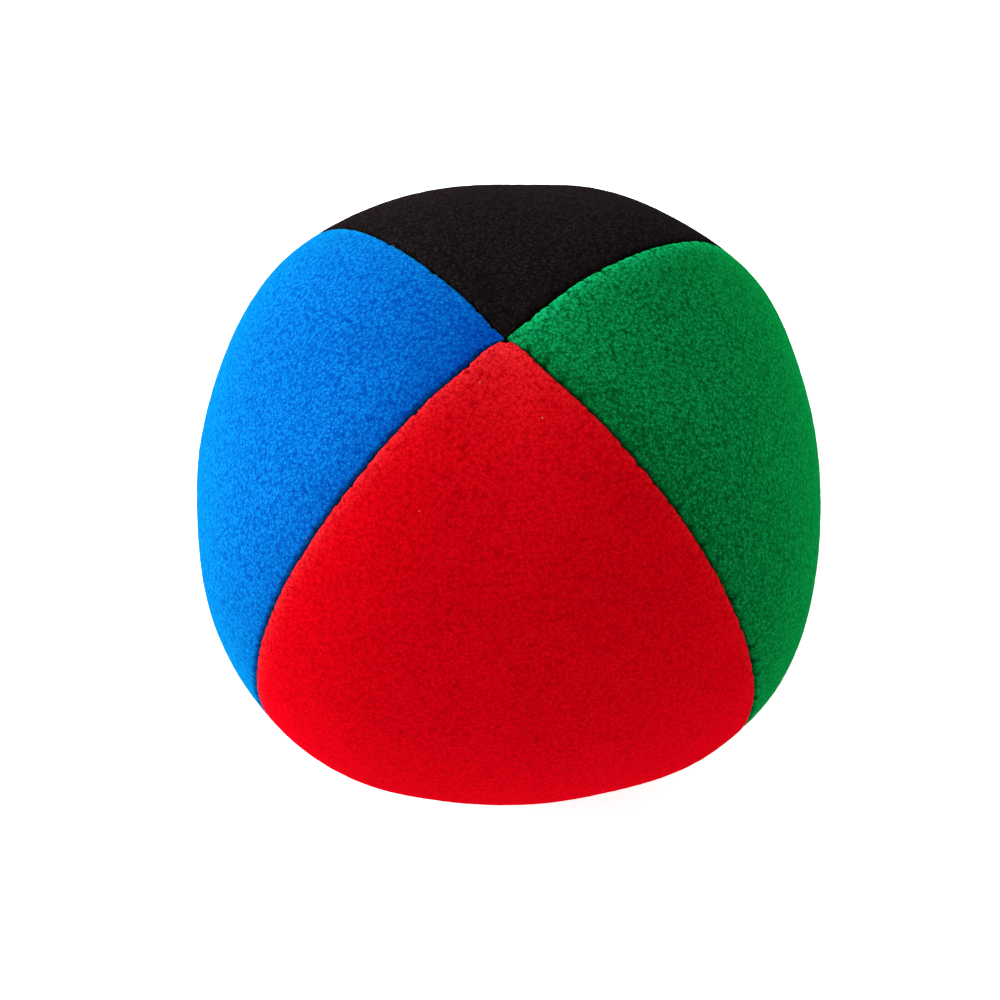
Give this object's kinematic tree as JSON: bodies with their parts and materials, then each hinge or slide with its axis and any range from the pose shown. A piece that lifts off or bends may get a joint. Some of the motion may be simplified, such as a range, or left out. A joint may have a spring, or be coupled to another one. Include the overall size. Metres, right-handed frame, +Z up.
{
  "type": "juggling ball",
  "caption": "Soft juggling beanbag sewn from velour gores in contrasting colours that meet at both poles, filled with loose millet and closed by hand stitches.",
  "frame": {"origin": "centre of the flat patch that the ball rests on, under the middle of the ball", "axes": "+Z up through the two poles where all the panels meet; +X to the green panel, +Y to the black panel, -X to the blue panel and -Y to the red panel"},
  "size_m": [0.0649, 0.0649, 0.0638],
  "materials": {
    "velour_red": "matte",
    "velour_green": "matte",
    "velour_black": "matte",
    "velour_blue": "matte",
    "machine_thread": "satin",
    "hand_thread": "satin",
    "millet": "satin"
  },
  "bodies": {
    "root": {"panel_red": "velour_red", "panel_green": "velour_green", "panel_black": "velour_black", "panel_blue": "velour_blue", "needle_thread_black_blue": "machine_thread", "bobbin_thread_black_blue": "machine_thread", "needle_thread_red_green": "machine_thread", "bobbin_thread_red_green": "machine_thread", "needle_thread_ring_seam": "machine_thread", "bobbin_thread_ring_seam": "machine_thread", "hand_closing_thread": "hand_thread", "millet_filling": "millet"}
  },
  "joints": []
}
